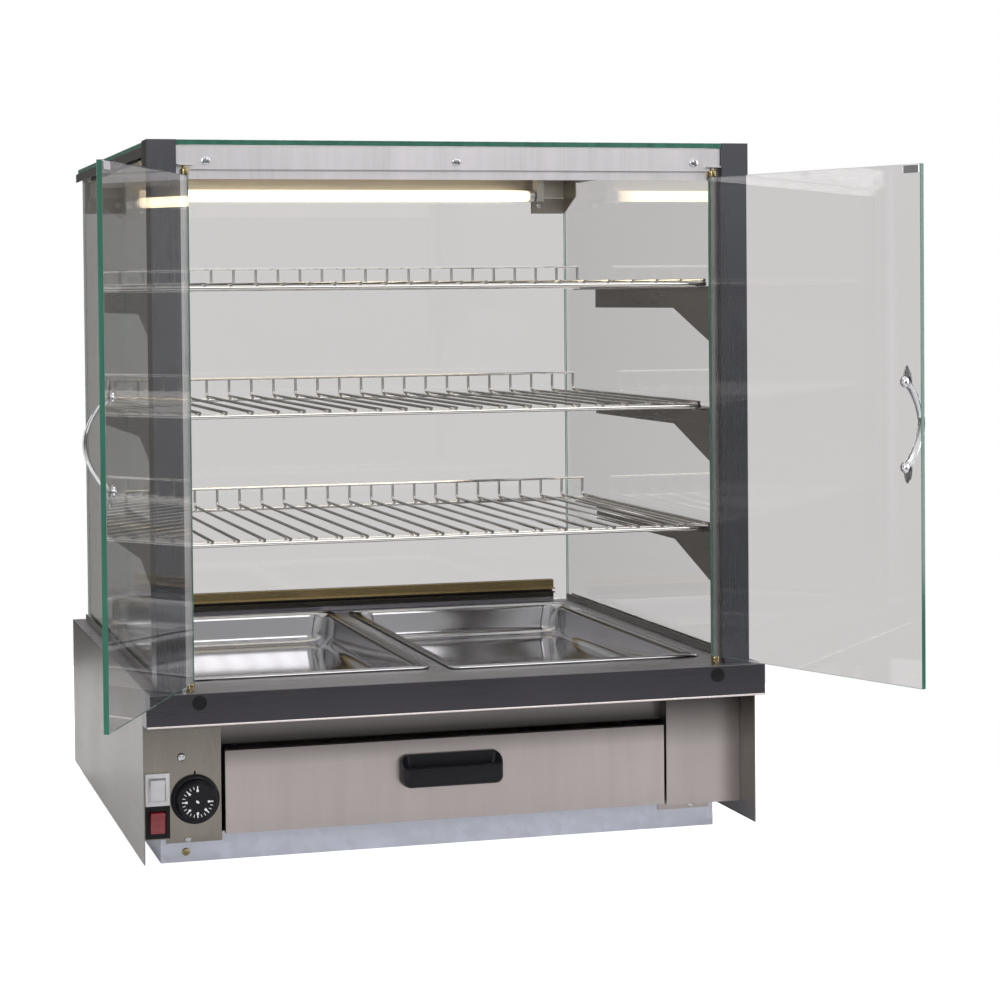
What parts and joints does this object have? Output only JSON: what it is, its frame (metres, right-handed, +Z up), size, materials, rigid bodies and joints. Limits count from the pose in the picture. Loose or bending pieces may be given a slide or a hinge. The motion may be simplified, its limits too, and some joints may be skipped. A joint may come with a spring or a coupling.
{
  "type": "hot food display case",
  "caption": "Countertop glass display case with wire shelves, hinged glass doors, a lamp and a heated base with food pans and a water drawer.",
  "frame": {"origin": "centre of the chassis underside, the flat face the case stands on", "axes": "+X to the right seen from the front, +Y to the back, +Z up"},
  "size_m": [0.9483, 0.9606, 0.85],
  "materials": {
    "brushed_steel": "vertical and horizontal brushed grain",
    "rail_steel": "brushed grain, dark reflections",
    "galvanised_steel": "bright zinc coat",
    "pan_steel": "polished pressed steel",
    "chrome": "bright chrome plate",
    "wire_chrome": "bright drawn wire",
    "aluminium_rail": "extruded, satin",
    "brass": "turned brass",
    "element_steel": "heat darkened",
    "gear_metal": "plated case",
    "black_plastic": "moulded, fine texture",
    "white_plastic": "moulded",
    "red_lens": "translucent moulded",
    "clear_glass": "clear float glass",
    "top_glass": "clear float glass with green edges",
    "door_glass": "clear toughened glass",
    "lamp_glass": "opal tube"
  },
  "bodies": {
    "case": {"chassis_tray": "galvanised_steel", "fascia_panel": "rail_steel", "base_back_panel": "brushed_steel", "deck_top": "rail_steel", "control_box": "brushed_steel", "right_box": "brushed_steel", "heating_element": "element_steel", "element_bar_front": "galvanised_steel", "element_bar_rear": "galvanised_steel", "thermostat_body": "gear_metal", "power_switch_body": "black_plastic", "light_switch_body": "white_plastic", "lamp_ballast": "gear_metal", "terminal_block": "white_plastic", "cable_gland": "black_plastic", "header_plate": "brushed_steel", "top_glass": "top_glass", "rear_glass": "clear_glass", "rear_channel": "aluminium_rail", "lamp_housing": "brushed_steel", "lamp_tube": "lamp_glass", "base_side_panel_left": "brushed_steel", "rail_plug_left": "black_plastic", "front_post_left": "rail_steel", "side_top_beam_left": "rail_steel", "side_glass_left": "clear_glass", "side_channel_left": "rail_steel", "corner_plate_left": "brushed_steel", "lamp_holder_left": "white_plastic", "base_side_panel_right": "brushed_steel", "rail_plug_right": "black_plastic", "front_post_right": "rail_steel", "side_top_beam_right": "rail_steel", "side_glass_right": "clear_glass", "side_channel_right": "rail_steel", "corner_plate_right": "brushed_steel", "lamp_holder_right": "white_plastic"},
    "door_left": {"door_glass_left": "door_glass", "door_pivot_bottom_left": "brass", "door_pivot_top_left": "brass", "door_handle_left": "chrome", "strike_plate_left": "chrome"},
    "door_right": {"door_glass_right": "door_glass", "door_pivot_bottom_right": "brass", "door_pivot_top_right": "brass", "door_handle_right": "chrome", "strike_plate_right": "chrome"},
    "drawer": {"drawer_front": "brushed_steel", "drawer_tub": "brushed_steel", "drawer_handle": "black_plastic"},
    "thermostat_knob": {"thermostat_knob": "black_plastic"},
    "power_rocker": {"power_rocker": "red_lens"},
    "light_rocker": {"light_rocker": "white_plastic"},
    "shelf_bottom": {"wire_shelf_bottom": "wire_chrome"},
    "shelf_middle": {"wire_shelf_middle": "wire_chrome"},
    "shelf_top": {"wire_shelf_top": "wire_chrome"},
    "pan_left": {"pan_left": "pan_steel"},
    "pan_right": {"pan_right": "pan_steel"}
  },
  "joints": [
    {"name": "left_door_hinge", "type": "hinge", "parent": "case", "child": "door_left", "pos_m": [-0.3245, -0.314, 0.216], "axis": [0, 0, 1], "range_deg": [-14.7, 115.3]},
    {"name": "right_door_hinge", "type": "hinge", "parent": "case", "child": "door_right", "pos_m": [0.3245, -0.314, 0.216], "axis": [0, 0, 1], "range_deg": [-112.5, 17.5]},
    {"name": "drawer_slide", "type": "slide", "parent": "case", "child": "drawer", "axis": [0, -1, 0], "range_m": [0, 0.3]},
    {"name": "thermostat_turn", "type": "hinge", "parent": "case", "child": "thermostat_knob", "pos_m": [-0.312, -0.27, 0.0787], "axis": [0, 1, 0], "range_deg": [0, 270]},
    {"name": "power_rock", "type": "hinge", "parent": "case", "child": "power_rocker", "pos_m": [-0.3567, -0.2585, 0.05375], "axis": [1, 0, 0], "range_deg": [-16, 0]},
    {"name": "light_rock", "type": "hinge", "parent": "case", "child": "light_rocker", "pos_m": [-0.3567, -0.2585, 0.09235], "axis": [1, 0, 0], "range_deg": [-16, 0]},
    {"name": "shelf_bottom_lift", "type": "slide", "parent": "case", "child": "shelf_bottom", "axis": [0, 0, 1], "range_m": [0, 0.02]},
    {"name": "shelf_middle_lift", "type": "slide", "parent": "case", "child": "shelf_middle", "axis": [0, 0, 1], "range_m": [0, 0.02]},
    {"name": "shelf_top_lift", "type": "slide", "parent": "case", "child": "shelf_top", "axis": [0, 0, 1], "range_m": [0, 0.02]},
    {"name": "pan_left_lift", "type": "slide", "parent": "case", "child": "pan_left", "axis": [0, 0, 1], "range_m": [0, 0.06]},
    {"name": "pan_right_lift", "type": "slide", "parent": "case", "child": "pan_right", "axis": [0, 0, 1], "range_m": [0, 0.06]}
  ]
}
